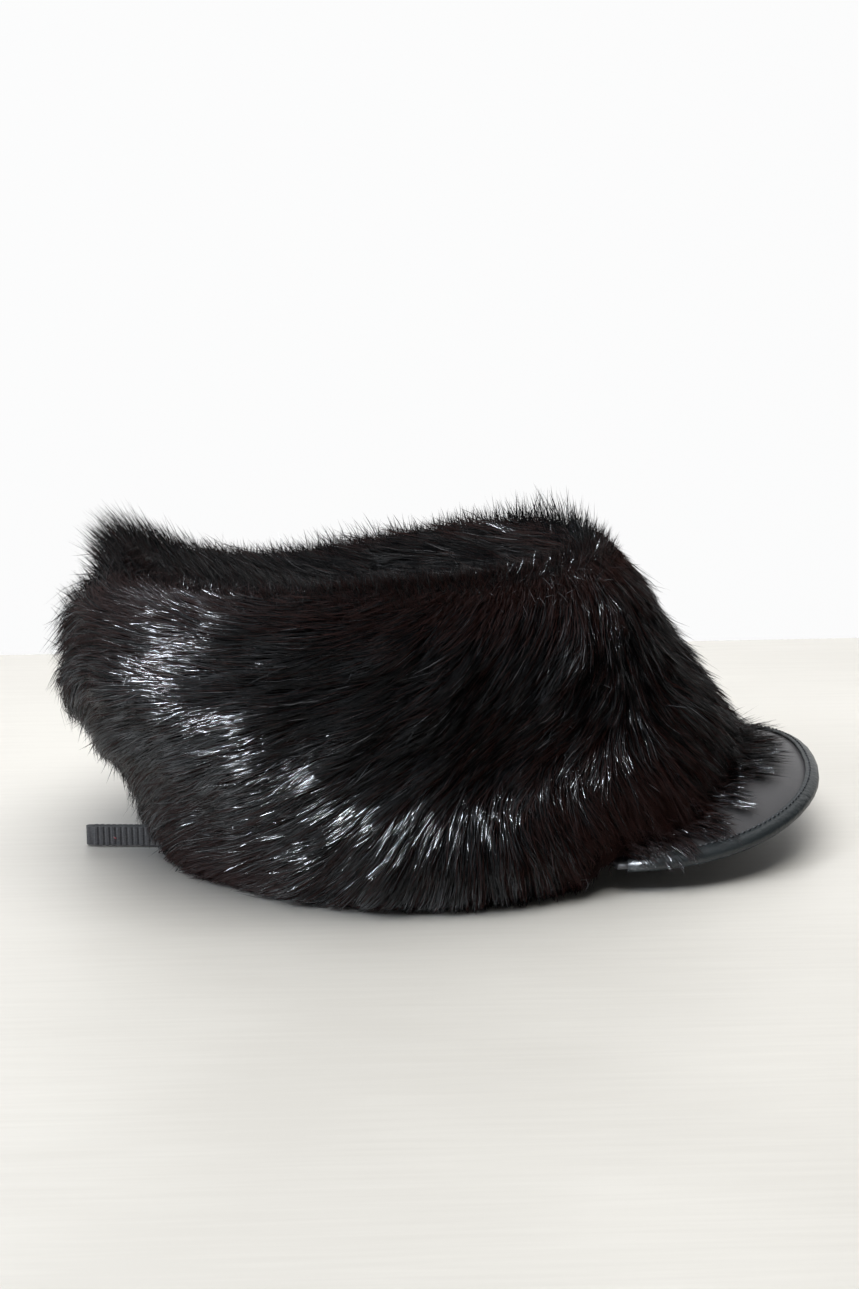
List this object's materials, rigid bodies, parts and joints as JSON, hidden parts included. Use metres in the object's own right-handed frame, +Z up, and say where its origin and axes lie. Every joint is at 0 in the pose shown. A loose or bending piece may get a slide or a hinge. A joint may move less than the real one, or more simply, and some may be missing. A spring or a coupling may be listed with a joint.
{
  "type": "fur cap",
  "caption": "Soft black fur cap with a dished crown, a short leather peak with a bound and stitched edge, and a ribbed strap at the back.",
  "frame": {"origin": "middle of the cap's outline seen from above, on the surface that it stands on", "axes": "+X from the back of the cap to its peak, +Y to the wearer's left, +Z up"},
  "size_m": [0.284, 0.1968, 0.1146],
  "materials": {
    "fur": "long glossy guard hairs over dark brown underfur",
    "peak_leather": "smooth, softly glossy",
    "binding_leather": "finely creased, satin",
    "ribbed_ribbon": "ribbed weave, matt"
  },
  "bodies": {
    "root": {"wall_pelt": "fur", "top_pelt": "fur", "peak": "peak_leather", "peak_binding": "binding_leather", "back_strap": "ribbed_ribbon"}
  },
  "joints": []
}
